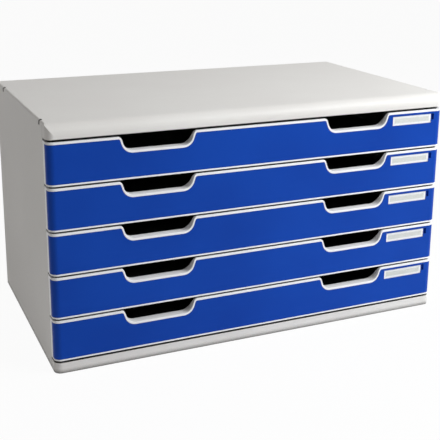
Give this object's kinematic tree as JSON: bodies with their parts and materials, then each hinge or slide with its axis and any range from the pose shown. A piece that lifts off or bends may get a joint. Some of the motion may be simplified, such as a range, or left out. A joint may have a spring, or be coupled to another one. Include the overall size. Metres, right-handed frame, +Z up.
{
  "type": "desktop drawer unit",
  "caption": "Low, wide desktop unit of full-width shallow drawers with finger cut-outs and label pockets, in a moulded case with a bull-nosed top.",
  "frame": {"origin": "on the surface that the unit stands on, in the middle of its width and depth", "axes": "+X to the right across the fronts, +Y towards the back, +Z up"},
  "size_m": [0.576, 0.33, 0.326],
  "materials": {
    "case_plastic": "fine-grained light grey moulded plastic",
    "tray_plastic": "smooth white moulded plastic",
    "fascia_plastic": "satin royal blue moulded plastic",
    "label_card": "plain uncoated paper card",
    "label_window": "clear thin plastic",
    "foot_rubber": "matte rubber",
    "screw_steel": "zinc-plated steel"
  },
  "bodies": {
    "case": {"top_cover": "case_plastic", "left_side_panel": "case_plastic", "right_side_panel": "case_plastic", "back_panel": "case_plastic", "base_panel": "case_plastic", "foot_pads": "foot_rubber", "case_screws": "screw_steel"},
    "drawer_1": {"drawer_1_tray": "tray_plastic", "drawer_1_fascia": "fascia_plastic", "drawer_1_label_card": "label_card", "drawer_1_label_window": "label_window"},
    "drawer_2": {"drawer_2_tray": "tray_plastic", "drawer_2_fascia": "fascia_plastic", "drawer_2_label_card": "label_card", "drawer_2_label_window": "label_window"},
    "drawer_3": {"drawer_3_tray": "tray_plastic", "drawer_3_fascia": "fascia_plastic", "drawer_3_label_card": "label_card", "drawer_3_label_window": "label_window"},
    "drawer_4": {"drawer_4_tray": "tray_plastic", "drawer_4_fascia": "fascia_plastic", "drawer_4_label_card": "label_card", "drawer_4_label_window": "label_window"},
    "drawer_5": {"drawer_5_tray": "tray_plastic", "drawer_5_fascia": "fascia_plastic", "drawer_5_label_card": "label_card", "drawer_5_label_window": "label_window"}
  },
  "joints": [
    {"name": "drawer_1_slide", "type": "slide", "parent": "case", "child": "drawer_1", "axis": [0, -1, 0], "range_m": [0, 0.24]},
    {"name": "drawer_2_slide", "type": "slide", "parent": "case", "child": "drawer_2", "axis": [0, -1, 0], "range_m": [0, 0.24]},
    {"name": "drawer_3_slide", "type": "slide", "parent": "case", "child": "drawer_3", "axis": [0, -1, 0], "range_m": [0, 0.24]},
    {"name": "drawer_4_slide", "type": "slide", "parent": "case", "child": "drawer_4", "axis": [0, -1, 0], "range_m": [0, 0.24]},
    {"name": "drawer_5_slide", "type": "slide", "parent": "case", "child": "drawer_5", "axis": [0, -1, 0], "range_m": [0, 0.24]}
  ]
}
